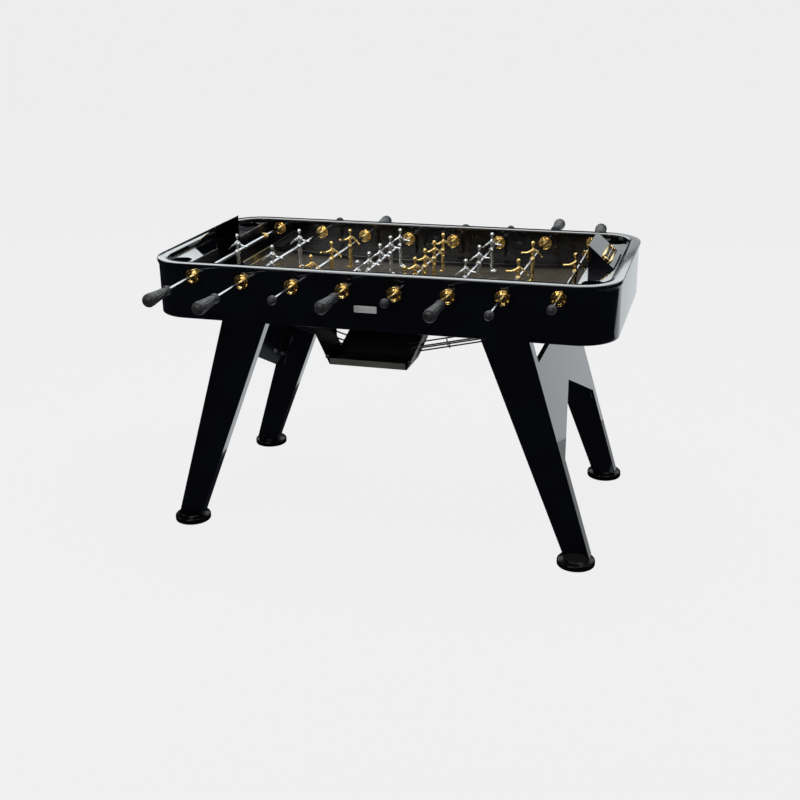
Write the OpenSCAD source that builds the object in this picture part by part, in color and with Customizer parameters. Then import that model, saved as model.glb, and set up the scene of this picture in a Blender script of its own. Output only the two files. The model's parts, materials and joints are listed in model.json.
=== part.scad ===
// Foosball table: a steel cabinet on four splayed legs, with eight rods that turn and slide.
// X runs along the table, Y from the front long side to the rear one, Z up from the floor.
// The origin is on the floor, under the middle of the table.

/* [Cabinet] */
// Length over the top rim
rim_l = 1552; // [1540:1:1600]
// Width over the top rim
rim_w = 778; // [778:1:790]
// Height of the rim's top face
top_z = 930; // [920:1:960]
// Height of the cabinet, rim included
cab_h = 186; // [178:1:190]
// Plan radius of the rim's corners
corner_r = 132; // [120:1:150]
// Width of the rim's top face
rim_band = 38; // [30:1:38]
// Thickness of the rim
rim_t = 13; // [10:1:13]
// Overhang of the rim past the cabinet wall
rim_over = 5; // [2:1:6]

/* [Playfield] */
// Height of the middle rods above the floor, below the rim's top face
rod_drop = 58; // [54:1:60]
// How much higher the two end rods are than mid-length
rod_rise = 19; // [10:1:19]
// Distance between neighbouring rods
rod_pitch = 171; // [168:1:172]
// Distance from a rod's axis down to the playfield
field_drop = 91; // [88:1:94]
// Distance from mid-length to the end walls of the playfield
end_x = 641; // [638:1:650]
// Half the width of the goal opening
goal_half = 97; // [94:1:104]

/* [Rods] */
// Outer radius of a rod
rod_r = 6; // [5:0.5:8]
// How far each rod stands off its middle position, rods 1 to 8
rod_shift = [-29, 5, 0, 16, -22, 53, -5, -52];
// Number of players on each rod
squad = [1, 2, 3, 5, 5, 3, 2, 1];
// Which side each rod's grip is on: -1 front, 1 rear
grip_side = [-1, -1, 1, -1, 1, -1, 1, 1];

/* [Score] */
// Height of the score hood's upper edge above the rim's top face
hood_rise = 62; // [40:1:70]
// Distance of the hood's lower edge from mid-length
hood_x = 730; // [725:1:732]

/* [Legs] */
// Inner edge of a leg at its top, from mid-length
leg_top_in = 357; // [340:1:370]
// Outer edge of a leg at its top
leg_top_out = 511; // [500:1:530]
// Inner edge of a leg at its foot
leg_foot_in = 640; // [620:1:645]
// Outer edge of a leg at its foot
leg_foot_out = 724; // [715:1:735]
// Depth of a leg, front to back
leg_d = 44; // [40:1:50]
// Radius of a foot
foot_r = 62; // [55:1:66]

/* [Ball return] */
// Offset of the ball tray and the name plate from mid-length
tray_x = -13; // [-20:1:20]
// Half the width of the tray's floor
tray_half = 127; // [110:1:140]
// Drop of the tray's floor below the cabinet
tray_drop = 125; // [110:1:140]

/* [Hidden] */
$fn = 48;

black = [0.04, 0.045, 0.06];
gold = [0.83, 0.62, 0.25];
silver = [0.72, 0.73, 0.75];
steel = [0.8, 0.81, 0.83];
grip_black = [0.06, 0.06, 0.065];

sheet_t = 3;
seam = 0.2;
run_fit = 0.05;
bottom_z = top_z - cab_h;
rim_z = top_z - rim_t;
shell_l = rim_l - 2 * rim_over;
shell_w = rim_w - 2 * rim_over;
shell_r = corner_r - rim_over;
wall_y = shell_w / 2;
inner_y = wall_y - sheet_t;
floor_flange = 22;

// The rods' axes and the playfield lie on two arcs about one centre above the table.
rod_z = top_z - rod_drop;
rod_end_x = 3.5 * rod_pitch;
arc_r = (rod_end_x * rod_end_x + rod_rise * rod_rise) / (2 * rod_rise);
arc_z = rod_z + arc_r;
field_r = arc_r + field_drop;
field_t = 6;
field_half_l = end_x - 0.5;
field_half_w = inner_y - 0.5;
arc_steps = 56;
strip_w = 12;
strip_h = 14;
end_strip_x = field_half_l * (1 - 2 / arc_steps);
end_strip_h = 20;
function field_z(x) = arc_z - sqrt(field_r * field_r - x * x);

deck_z = rim_z - sheet_t;
pocket_d = 62;
cup_r = 36;
cup_x = 688;
cup_y = 290;
drop_hole_r = 24;
wall_low_z = bottom_z + sheet_t;

hood_z = top_z + hood_rise;
hood_run = hood_x - (end_x + 4);
hood_fall = hood_z - rim_z;
hood_angle = atan2(hood_fall, hood_run);
frame_s = 73;
frame_w = 36;
frame_half = 88;
frame_h = 5;
window_w = 20;
window_half = 75;
bar_r = 1.5;
bar_h = 3.4;
marker_r = 3;
marker_l = 14;

flange_r = 24;
hub_r = 15;
outer_disc = 13;
outer_hub = 15;
inner_disc = 4;
inner_hub = 12;
sleeve_r = 10.5;
lip_r = 13;
lip_t = 1.7;
lip_gap = 0.3;
screw_ring = 19.5;
screw_r = 2;
screw_head_r = 3.6;
screw_head_h = 2.2;

// Spacing of the players, distance from the rod's middle to its grip and to its cap, by squad size
function spacing(n) = n == 2 ? 262 : n == 3 ? 204 : n == 5 ? 125 : 0;
function grip_start(n) = n == 1 ? 546 : n == 2 ? 597 : n == 3 ? 538 : 484;
function cap_start(n) = n == 1 ? 456 : n == 2 ? 570 : n == 3 ? 544 : 465;
function rod_x(i) = (i - 3.5) * rod_pitch;
function rod_height(i) = arc_z - sqrt(arc_r * arc_r - rod_x(i) * rod_x(i));
grip_l = 136;
grip_hold = 120;
cap_l = 26;
cap_hold = 18;
bore_r = rod_r + run_fit;
ring_offset = 250;
head_z = 53.5;
foot_low = -80;

leg_y = 334;
foot_h = 26;
foot_x = (leg_foot_in + leg_foot_out) / 2 - 3;
foot_y = leg_y + leg_d - 10;
leg_wall = 3;
plate_top_z = 665;
plate_low_z = 351;
plate_apex_z = 501;
tab_w = 36;
frame_bolt_r = 4;
frame_bolt_z = [400, 600];
function leg_out(z) = leg_foot_out + (leg_top_out - leg_foot_out) * (z - foot_h) / (bottom_z - foot_h);
function leg_in(z) = leg_foot_in + (leg_top_in - leg_foot_in) * (z - foot_h) / (bottom_z - foot_h);

tray_z = bottom_z - tray_drop;
tray_front = 372;
tray_back = 232;
tray_top_half = tray_half + 57;
rail_r = 2.5;
tie_r = 2;
tray_back_top = 80;
tray_lip_h = 25;
window_x = 151;
right_rail_start = [118, -285, 656];
left_rail_start = [126, -212, 642];
rail_end = [676, 0, 710];

// ---- helpers ----

module round_plan(l, w, r) {
    square([l - 2 * r, w], center = true);
    square([l, w - 2 * r], center = true);
    for (sx = [-1, 1], sy = [-1, 1])
        translate([sx * (l / 2 - r), sy * (w / 2 - r)])
            circle(r = r, $fn = 96);
}

module slab(l, w, r, z, h) {
    translate([0, 0, z])
        linear_extrude(h)
            round_plan(l, w, r);
}

// Extrudes an XZ outline along Y, from y0 to y1
module along_y(y0, y1) {
    translate([0, y1, 0])
        rotate([90, 0, 0])
            linear_extrude(y1 - y0)
                children();
}

module y_cylinder(r, y0, y1) {
    translate([0, y1, 0])
        rotate([90, 0, 0])
            cylinder(r = r, h = y1 - y0);
}

module at_rod(i) {
    translate([rod_x(i), 0, rod_height(i)])
        children();
}

module each_rod() {
    for (i = [0 : 7])
        at_rod(i)
            children();
}

module end_side(side) {
    if (side > 0)
        children();
    else
        mirror([1, 0, 0])
            children();
}

module front_rear(side) {
    if (side > 0)
        children();
    else
        mirror([0, 1, 0])
            children();
}

module box(lo, hi) {
    translate(lo)
        cube(hi - lo);
}

// ---- cabinet ----

module cabinet_shell() {
    color(black)
        difference() {
            slab(shell_l, shell_w, shell_r, bottom_z, rim_z - bottom_z);
            slab(shell_l - 2 * sheet_t, shell_w - 2 * sheet_t, shell_r - sheet_t,
                bottom_z + sheet_t, cab_h);
            slab(shell_l - 2 * floor_flange, shell_w - 2 * floor_flange, shell_r - floor_flange,
                bottom_z - 1, cab_h);
            each_rod() {
                y_cylinder(sleeve_r + 0.7, -rim_w, rim_w);
                for (a = [90, 210, 330])
                    translate([screw_ring * cos(a), 0, screw_ring * sin(a)])
                        y_cylinder(screw_r + 0.1, -rim_w, rim_w);
            }
        }
}

// Four bars and four corner bends, with a fine seam where they meet
module top_rim() {
    seam_x = rim_l / 2 - corner_r;
    seam_y = rim_w / 2 - corner_r;
    color(black)
        difference() {
            slab(rim_l, rim_w, corner_r, rim_z, rim_t);
            slab(rim_l - 2 * rim_band, rim_w - 2 * rim_band, corner_r - rim_band,
                rim_z - 1, rim_t + 2);
            for (side = [-1, 1]) {
                box([side * seam_x - seam / 2, -rim_w, rim_z - 1],
                    [side * seam_x + seam / 2, rim_w, top_z + 1]);
                box([-rim_l, side * seam_y - seam / 2, rim_z - 1],
                    [rim_l, side * seam_y + seam / 2, top_z + 1]);
            }
        }
}

// A band of sheet that follows the playfield's arc, from h below it to t above it
module arc_band(h, t, y0, y1) {
    steps = [for (k = [0 : arc_steps]) field_half_l * (2 * k / arc_steps - 1)];
    along_y(y0, y1)
        polygon(concat([for (x = steps) [x, field_z(x) - h]],
            [for (k = [arc_steps : -1 : 0]) [steps[k], field_z(steps[k]) + t]]));
}

module playfield() {
    color([0.2, 0.19, 0.15])
        arc_band(field_t, 0, -field_half_w, field_half_w);
}

// A sloped strip along an end wall, beside the goal; its foot lies on the last flat of the arc
module end_strip() {
    foot = field_z(end_strip_x);
    along_y(goal_half + 3, field_half_w - strip_w)
        polygon([[end_strip_x, foot], [field_half_l, field_z(field_half_l)],
            [field_half_l, foot + end_strip_h]]);
}

module side_strips() {
    color(black)
        for (side = [-1, 1])
            front_rear(side) {
                arc_band(0, strip_h, field_half_w - strip_w, field_half_w);
                end_side(1)
                    end_strip();
                end_side(-1)
                    end_strip();
            }
}

// ---- ends ----

module deck() {
    difference() {
        slab(shell_l - 2 * sheet_t - 1, shell_w - 2 * sheet_t - 1, shell_r - sheet_t - 0.5,
            deck_z, sheet_t);
        box([-rim_l, -rim_w, deck_z - 1], [end_x, rim_w, top_z]);
        box([0, -goal_half, deck_z - 1], [end_x + pocket_d, goal_half, top_z]);
        for (side = [-1, 1])
            translate([cup_x, side * cup_y, deck_z - 1])
                cylinder(r = cup_r, h = sheet_t + 2, $fn = 64);
    }
}

module left_deck() {
    color(black)
        end_side(-1)
            deck();
}

module right_deck() {
    color(black)
        end_side(1)
            deck();
}

module goal_wall() {
    back_x = end_x + pocket_d;
    for (side = [-1, 1])
        front_rear(side) {
            box([end_x, goal_half, wall_low_z + 25], [end_x + sheet_t, field_half_w, deck_z]);
            box([end_x, goal_half, wall_low_z], [back_x, goal_half + sheet_t, deck_z]);
        }
    box([back_x - sheet_t, -goal_half, wall_low_z], [back_x, goal_half, deck_z]);
    difference() {
        box([end_x, -goal_half, wall_low_z], [back_x - sheet_t, goal_half, wall_low_z + sheet_t]);
        translate([end_x + pocket_d / 2, 0, wall_low_z - 1])
            cylinder(r = drop_hole_r, h = sheet_t + 2);
    }
}

module goal_walls() {
    color(black)
        for (side = [-1, 1])
            end_side(side)
                goal_wall();
}

module score_hood() {
    x0 = end_x + 4;
    drop = sheet_t / cos(hood_angle);
    run = sheet_t / sin(hood_angle);
    along_y(-goal_half - 6, goal_half + 6)
        polygon([[x0, hood_z], [hood_x, rim_z], [hood_x - run, rim_z], [x0, hood_z - drop]]);
    for (side = [-1, 1])
        front_rear(side)
            along_y(goal_half, goal_half + sheet_t)
                polygon([[x0, rim_z], [x0, hood_z - drop], [hood_x - run, rim_z]]);
}

module left_score_hood() {
    color(black)
        end_side(-1)
            score_hood();
}

module right_score_hood() {
    color(black)
        end_side(1)
            score_hood();
}

// Children are placed on the hood's slope: x down the slope from its upper edge, z out of it
module on_slope() {
    translate([end_x + 4, 0, hood_z])
        rotate([0, hood_angle, 0])
            children();
}

module score_frame() {
    on_slope() {
        difference() {
            box([frame_s - frame_w / 2, -frame_half, 0], [frame_s + frame_w / 2, frame_half, frame_h]);
            box([frame_s - window_w / 2, -window_half, -1],
                [frame_s + window_w / 2, window_half, frame_h + 1]);
        }
        translate([frame_s, 0, bar_h])
            y_cylinder(bar_r, -window_half, window_half);
    }
}

module score_frames() {
    color(gold)
        for (side = [-1, 1])
            end_side(side)
                score_frame();
}

module score_marker() {
    on_slope()
        translate([frame_s, 0, bar_h])
            difference() {
                y_cylinder(marker_r, -marker_l / 2, marker_l / 2);
                y_cylinder(bar_r + run_fit, -marker_l, marker_l);
            }
}

module left_score_marker() {
    color(silver)
        end_side(-1)
            score_marker();
}

module right_score_marker() {
    color(silver)
        end_side(1)
            score_marker();
}

// ---- bearings ----

module screw_holes(y0, y1) {
    for (a = [90, 210, 330])
        translate([screw_ring * cos(a), 0, screw_ring * sin(a)])
            y_cylinder(screw_r + 0.1, y0, y1);
}

module flange_pair() {
    difference() {
        union() {
            y_cylinder(flange_r, wall_y, wall_y + outer_disc);
            y_cylinder(hub_r, wall_y, wall_y + outer_hub);
        }
        y_cylinder(sleeve_r + run_fit, wall_y - 1, wall_y + outer_hub + 1);
        screw_holes(wall_y - 1, wall_y + outer_disc + 1);
    }
    difference() {
        union() {
            y_cylinder(flange_r, inner_y - inner_disc, inner_y);
            y_cylinder(hub_r, inner_y - inner_hub, inner_y);
        }
        y_cylinder(sleeve_r + run_fit, inner_y - inner_hub - 1, inner_y + 1);
        screw_holes(inner_y - inner_disc - 1, inner_y + 1);
    }
}

module bearing_flanges() {
    color(gold)
        each_rod()
            for (side = [-1, 1])
                front_rear(side)
                    flange_pair();
}

module flange_screw() {
    inside = inner_y - inner_disc;
    outside = wall_y + outer_disc;
    y_cylinder(screw_r, inside, outside);
    y_cylinder(screw_head_r, outside, outside + screw_head_h);
    y_cylinder(screw_head_r, inside - screw_head_h, inside);
}

module flange_screws() {
    color(gold)
        each_rod()
            for (side = [-1, 1], a = [90, 210, 330])
                front_rear(side)
                    translate([screw_ring * cos(a), 0, screw_ring * sin(a)])
                        flange_screw();
}

module sleeve() {
    y0 = inner_y - inner_hub - lip_gap - lip_t;
    y1 = wall_y + outer_hub + lip_gap + lip_t;
    difference() {
        union() {
            y_cylinder(sleeve_r, y0, y1);
            y_cylinder(lip_r, y0, y0 + lip_t);
            y_cylinder(lip_r, y1 - lip_t, y1);
        }
        y_cylinder(bore_r, y0 - 1, y1 + 1);
    }
}

module sleeves(i) {
    color(grip_black)
        at_rod(i)
            for (side = [-1, 1])
                front_rear(side)
                    sleeve();
}

// ---- rods ----

module rod_tube(i) {
    n = squad[i];
    long = grip_start(n) + grip_hold;
    short = cap_start(n) + cap_hold;
    color(steel)
        at_rod(i)
            translate([0, rod_shift[i], 0])
                front_rear(grip_side[i])
                    difference() {
                        y_cylinder(rod_r, -short, long);
                        y_cylinder(rod_r - 2, -short - 1, long + 1);
                    }
}

// Turned about the rod: the outline's x is the radius and its y the distance from the inner end
module turned() {
    rotate([-90, 0, 0])
        rotate_extrude()
            children();
}

module grip() {
    end_r = 21;
    dome = 14;
    arc = [for (a = [0 : 15 : 90]) [end_r * cos(a), grip_l - dome + dome * sin(a)]];
    turned()
        polygon(concat([[bore_r, 0], [16, 0], [16, 13], [12.5, 19], [12.5, 26],
            [15.5, 35], [17, 60]], arc,
            [[0, grip_hold + 1], [bore_r, grip_hold + 1]]));
}

module end_cap() {
    cap_r = 14.5;
    dome = 12;
    arc = [for (a = [0 : 15 : 90]) [cap_r * cos(a), cap_l - dome + dome * sin(a)]];
    turned()
        polygon(concat([[bore_r, 0], [12, 0], [cap_r, 4]], arc,
            [[0, cap_hold + 1], [bore_r, cap_hold + 1]]));
}

module grips(i) {
    n = squad[i];
    color(grip_black)
        at_rod(i)
            translate([0, rod_shift[i], 0])
                front_rear(grip_side[i]) {
                    translate([0, grip_start(n), 0])
                        grip();
                    mirror([0, 1, 0])
                        translate([0, cap_start(n), 0])
                            end_cap();
                }
}

module stop_ring(i) {
    ring_l = 14;
    ring_r = 14;
    color(gold)
        at_rod(i)
            translate([0, rod_shift[i] + ring_offset, 0])
                difference() {
                    translate([0, ring_l / 2, 0])
                        rotate([90, 0, 0])
                            cylinder(r = ring_r, h = ring_l, $fn = 6);
                    y_cylinder(bore_r, -ring_l, ring_l);
                }
}

// ---- players ----

// A tapered bar from p to q
module bar(p, q, r0, r1, sides = 24) {
    d = q - p;
    translate(p)
        rotate([0, acos(d[2] / norm(d)), atan2(d[1], d[0])])
            cylinder(r1 = r0, r2 = r1, h = norm(d), $fn = sides);
}

module arm(side) {
    shoulder = [0, side * 8.5, 31];
    elbow = [side * 15, side * 15, 20];
    hand = [side * 33, side * 13, side > 0 ? 19 : 9];
    palm = [4.6, 3.6, 4.2];
    bar(shoulder, elbow + (elbow - shoulder) * 0.12, 5.4, 4.2, 8);
    bar(elbow - (hand - elbow) * 0.12, hand, 4.4, 3.4, 8);
    box(hand - palm, hand + palm);
}

module shin(side) {
    ankle = [side * 3, side * 7, foot_low + 4];
    bar([0, side * 7.5, -4], ankle, 6, 4.2, 8);
    box([ankle[0] - 6, ankle[1] - 4.5, foot_low], [ankle[0] + 16, ankle[1] + 4.5, foot_low + 7]);
}

// A standing figure that faces +X, about the rod's axis
module player() {
    difference() {
        union() {
            rotate_extrude($fn = 32)
                polygon([[0, -16], [9, -16], [12, -9], [12, 4], [9, 14], [12, 27], [10, 35],
                    [4, 39], [4, 50], [0, 50]]);
            translate([0, 0, head_z])
                sphere(r = 9, $fn = 32);
            y_cylinder(9.5, -14, 14);
            arm(-1);
            arm(1);
            shin(-1);
            shin(1);
        }
        y_cylinder(bore_r, -20, 20);
    }
}

// Silver players face +X and have front grips; gold players face -X and have rear grips
module players(i) {
    n = squad[i];
    silver_team = grip_side[i] < 0;
    color(silver_team ? silver : gold)
        at_rod(i)
            for (k = [0 : n - 1])
                translate([0, rod_shift[i] + (k - (n - 1) / 2) * spacing(n), 0])
                    rotate([0, 0, silver_team ? 0 : 180])
                        player();
}

// ---- stand ----

module subframe() {
    x0 = leg_top_in + 20;
    x1 = leg_top_out - 15;
    z0 = bottom_z + sheet_t;
    z1 = field_z(x0) - field_t;
    color(black)
        for (side = [-1, 1])
            end_side(side)
                difference() {
                    box([x0, -inner_y + 0.5, z0], [x1, inner_y - 0.5, z1]);
                    box([x0 + sheet_t, -inner_y, z0 - 1], [x1 - sheet_t, inner_y, z1 - sheet_t]);
                }
}

module leg_outline(edge, low) {
    polygon([[leg_in(low) + edge, low], [leg_out(low) - edge, low],
        [leg_out(bottom_z) - edge, bottom_z], [leg_in(bottom_z) + edge, bottom_z]]);
}

module leg(side_x, side_y) {
    color(black)
        end_side(side_x)
            front_rear(side_y)
                difference() {
                    along_y(leg_y, leg_y + leg_d)
                        leg_outline(0, foot_h);
                    along_y(leg_y + leg_wall, leg_y + leg_d - leg_wall)
                        leg_outline(leg_wall * 1.05, foot_h + 5);
                    frame_bolt_holes();
                }
}

module frame_bolt_holes() {
    for (z = frame_bolt_z)
        translate([leg_out(z) - 19, 0, z])
            y_cylinder(frame_bolt_r + 0.2, leg_y - sheet_t - 1, leg_y + leg_wall + 1);
}

module front_left_leg() {
    leg(-1, -1);
}

module front_right_leg() {
    leg(1, -1);
}

module rear_left_leg() {
    leg(-1, 1);
}

module rear_right_leg() {
    leg(1, 1);
}

module end_plate(side) {
    half = leg_y - sheet_t;
    skew = sheet_t * 1.043;
    color(black)
        end_side(side) {
            intersection() {
                along_y(-half, half)
                    polygon([[leg_out(plate_top_z) - skew, plate_top_z], [leg_out(plate_top_z), plate_top_z],
                        [leg_out(plate_low_z), plate_low_z], [leg_out(plate_low_z) - skew, plate_low_z]]);
                rotate([90, 0, 90])
                    linear_extrude(2 * rim_l, center = true)
                        polygon([[-half, plate_low_z], [0, plate_apex_z], [half, plate_low_z],
                            [half, plate_top_z], [-half, plate_top_z]]);
            }
            box([leg_out(plate_top_z) - 16, -half, plate_top_z - sheet_t],
                [leg_out(plate_top_z) - skew / 2, half, plate_top_z]);
            for (side_y = [-1, 1])
                front_rear(side_y)
                    difference() {
                        along_y(half, leg_y)
                            polygon([[leg_out(plate_top_z) - tab_w, plate_top_z],
                                [leg_out(plate_top_z), plate_top_z],
                                [leg_out(plate_low_z), plate_low_z],
                                [leg_out(plate_low_z) - tab_w, plate_low_z]]);
                        frame_bolt_holes();
                    }
        }
}

module left_end_plate() {
    end_plate(-1);
}

module right_end_plate() {
    end_plate(1);
}

module feet() {
    color(black)
        for (sx = [-1, 1], sy = [-1, 1])
            translate([sx * foot_x, sy * foot_y, 0])
                rotate_extrude($fn = 64)
                    polygon([[0, 0], [foot_r - 4, 0], [foot_r - 1, 3], [foot_r, 7], [foot_r, 14],
                        [foot_r - 3, 20], [foot_r - 10, 24], [foot_r - 18, foot_h], [0, foot_h]]);
}

module frame_bolts() {
    color(silver)
        for (sx = [-1, 1], sy = [-1, 1], z = frame_bolt_z)
            end_side(sx)
                front_rear(sy)
                    translate([leg_out(z) - 19, 0, z]) {
                        y_cylinder(2 * frame_bolt_r, leg_y - sheet_t - 5, leg_y - sheet_t);
                        y_cylinder(frame_bolt_r, leg_y - sheet_t - 1, leg_y + leg_wall + 6);
                    }
}

// ---- ball return ----

// Outline of the tray across the table, its sloping sides pushed outward by t
module tray_outline(t, low) {
    polygon([[-tray_top_half - t, bottom_z], [-tray_half - t, low], [tray_half + t, low],
        [tray_top_half + t, bottom_z]]);
}

// The way in for the right rails, through the tray's side
module tray_slot() {
    box([tray_half, right_rail_start[1] - 22, right_rail_start[2] - 12],
        [tray_top_half + 9, right_rail_start[1] + 50, right_rail_start[2] + 32]);
}

// The way in for the left rails, through the tray's back
module tray_window() {
    polygon([[-tray_half - 10, tray_z + 22], [-tray_back_top, bottom_z + 1],
        [-window_x, bottom_z + 1], [-window_x, tray_z + 52]]);
}

module ball_tray() {
    color(black)
        translate([tray_x, 0, 0])
            difference() {
                union() {
                    along_y(-tray_front, -tray_back)
                        difference() {
                            tray_outline(sheet_t * 1.1, tray_z);
                            tray_outline(0, tray_z + sheet_t);
                        }
                    rotate([90, 0, 90])
                        linear_extrude(2 * tray_half, center = true)
                            polygon([[-tray_front, tray_z], [-tray_front + sheet_t, tray_z + sheet_t],
                                [-tray_front - 6, tray_z + tray_lip_h],
                                [-tray_front - 9, tray_z + tray_lip_h - 1]]);
                    along_y(-tray_back - sheet_t, -tray_back)
                        difference() {
                            tray_outline(1, tray_z + 1);
                            tray_window();
                        }
                }
                tray_slot();
            }
}

// A point on a rail set: its share t of the way, w sideways and h out of the trough
function rail_point(start, t, w, h) =
    let (d = rail_end - start, e = d / norm(d), s = [-e[1], e[0], 0] / norm([e[1], e[0]]))
    start + t * d + w * s + h * cross(e, s);

// Four wires that make a trough, tied underneath and hung from the goal pocket
module rail_set(start) {
    for (w = [[-14, 0], [14, 0], [-22, 18], [22, 18]])
        bar(rail_point(start, 0, w[0], w[1]), rail_point(start, 1, w[0], w[1]), rail_r, rail_r);
    for (t = [0.2, 0.58, 0.97]) {
        bar(rail_point(start, t, -16, -3.5), rail_point(start, t, 16, -3.5), tie_r, tie_r);
        for (side = [-1, 1]) {
            bar(rail_point(start, t, side * 16, -4.2), rail_point(start, t, side * 24.5, 20),
                tie_r, tie_r);
        }
    }
    for (side = [-1, 1]) {
        p = rail_point(start, 0.95, side * 23, 19);
        bar(p, [p[0], p[1], wall_low_z], tie_r, tie_r);
    }
}

module ball_rails() {
    color(steel) {
        rail_set(right_rail_start + [tray_x, 0, 0]);
        end_side(-1)
            rail_set(left_rail_start - [tray_x, 0, 0]);
    }
}

module name_plate() {
    plate_w = 75;
    plate_h = 22;
    color([0.75, 0.75, 0.74])
        translate([tray_x, -wall_y, bottom_z + 71])
            rotate([90, 0, 0])
                linear_extrude(2)
                    round_plan(plate_w, plate_h, 3);
}

cabinet_shell();
top_rim();
playfield();
side_strips();
left_deck();
right_deck();
goal_walls();
left_score_hood();
right_score_hood();
score_frames();
left_score_marker();
right_score_marker();
bearing_flanges();
flange_screws();
subframe();
front_left_leg();
front_right_leg();
rear_left_leg();
rear_right_leg();
left_end_plate();
right_end_plate();
feet();
ball_tray();
ball_rails();
name_plate();
frame_bolts();
rod_tube(0);  // rod_1
rod_tube(1);  // rod_2
rod_tube(2);  // rod_3
rod_tube(3);  // rod_4
rod_tube(4);  // rod_5
rod_tube(5);  // rod_6
rod_tube(6);  // rod_7
rod_tube(7);  // rod_8
players(0);  // players_1
players(1);  // players_2
players(2);  // players_3
players(3);  // players_4
players(4);  // players_5
players(5);  // players_6
players(6);  // players_7
players(7);  // players_8
grips(0);  // grips_1
grips(1);  // grips_2
grips(2);  // grips_3
grips(3);  // grips_4
grips(4);  // grips_5
grips(5);  // grips_6
grips(6);  // grips_7
grips(7);  // grips_8
sleeves(0);  // sleeves_1
sleeves(1);  // sleeves_2
sleeves(2);  // sleeves_3
sleeves(3);  // sleeves_4
sleeves(4);  // sleeves_5
sleeves(5);  // sleeves_6
sleeves(6);  // sleeves_7
sleeves(7);  // sleeves_8
stop_ring(0);  // stop_ring_1
stop_ring(7);  // stop_ring_8
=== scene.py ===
"""Looks of a foosball table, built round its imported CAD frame. Sizes are in metres."""
import json
import math

import bmesh
import bpy
from mathutils import Matrix, Vector


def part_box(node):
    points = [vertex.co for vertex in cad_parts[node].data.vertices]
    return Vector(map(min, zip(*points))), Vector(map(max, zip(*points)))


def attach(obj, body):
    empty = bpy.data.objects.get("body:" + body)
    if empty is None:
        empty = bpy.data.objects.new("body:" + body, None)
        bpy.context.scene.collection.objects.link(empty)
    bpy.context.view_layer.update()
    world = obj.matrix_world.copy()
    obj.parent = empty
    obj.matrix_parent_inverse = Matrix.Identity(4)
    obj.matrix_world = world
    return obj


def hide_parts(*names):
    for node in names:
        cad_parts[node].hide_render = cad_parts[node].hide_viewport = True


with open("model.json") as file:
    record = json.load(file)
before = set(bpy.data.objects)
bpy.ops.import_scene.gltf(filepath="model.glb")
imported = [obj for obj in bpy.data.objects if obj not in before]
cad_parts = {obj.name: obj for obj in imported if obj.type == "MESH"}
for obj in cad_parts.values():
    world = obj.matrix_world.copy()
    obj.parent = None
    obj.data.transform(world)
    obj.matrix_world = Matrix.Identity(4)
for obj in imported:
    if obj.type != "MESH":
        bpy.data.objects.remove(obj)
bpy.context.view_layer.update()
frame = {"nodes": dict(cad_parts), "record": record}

TAU = 2 * math.pi
TABLE = "table"
NODES = frame["nodes"]
JOINTS = frame["record"]["behaviour"]["joints"]
ROD_AXES = {j["child"]: Vector(j["pos_m"]) for j in JOINTS if j["name"].endswith("_spin")}

# Players on each rod, left to right, the distance between them, and which rods have their grip in front.
SQUAD = (1, 2, 3, 5, 5, 3, 2, 1)
GAP = {1: 0.0, 2: 0.262, 3: 0.204, 5: 0.125}
FRONT_GRIP = (True, True, False, True, False, True, False, False)

# The cabinet: corner radius and width of the rim, thickness of the sheet, and the long walls' two faces.
RIM_LO, RIM_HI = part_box("top_rim")
SHELL_LO, SHELL_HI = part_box("cabinet_shell")
RIM_R = 0.132
RIM_BAND = 0.038
SHELL_R = RIM_R - (RIM_HI[0] - SHELL_HI[0])
SHEET = 0.003
WALL_Y = SHELL_HI[1]
INNER_WALL_Y = WALL_Y - SHEET


# ---- materials ----

def ramp_value(nt, source, low, high):
    """Spreads the middle of a noise, where nearly all of its values lie, from low to high."""
    node = nt.nodes.new("ShaderNodeMapRange")
    node.inputs["From Min"].default_value = 0.3
    node.inputs["From Max"].default_value = 0.7
    node.inputs["To Min"].default_value = low
    node.inputs["To Max"].default_value = high
    nt.links.new(source, node.inputs["Value"])
    return node.outputs["Result"]


def noise(nt, vector, scale, detail):
    node = nt.nodes.new("ShaderNodeTexNoise")
    node.inputs["Scale"].default_value = scale
    node.inputs["Detail"].default_value = detail
    nt.links.new(vector, node.inputs["Vector"])
    return node.outputs["Fac"]


def stretched(nt, coord, scale):
    mapping = nt.nodes.new("ShaderNodeMapping")
    mapping.inputs["Scale"].default_value = scale
    nt.links.new(coord, mapping.inputs["Vector"])
    return mapping.outputs["Vector"]


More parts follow.
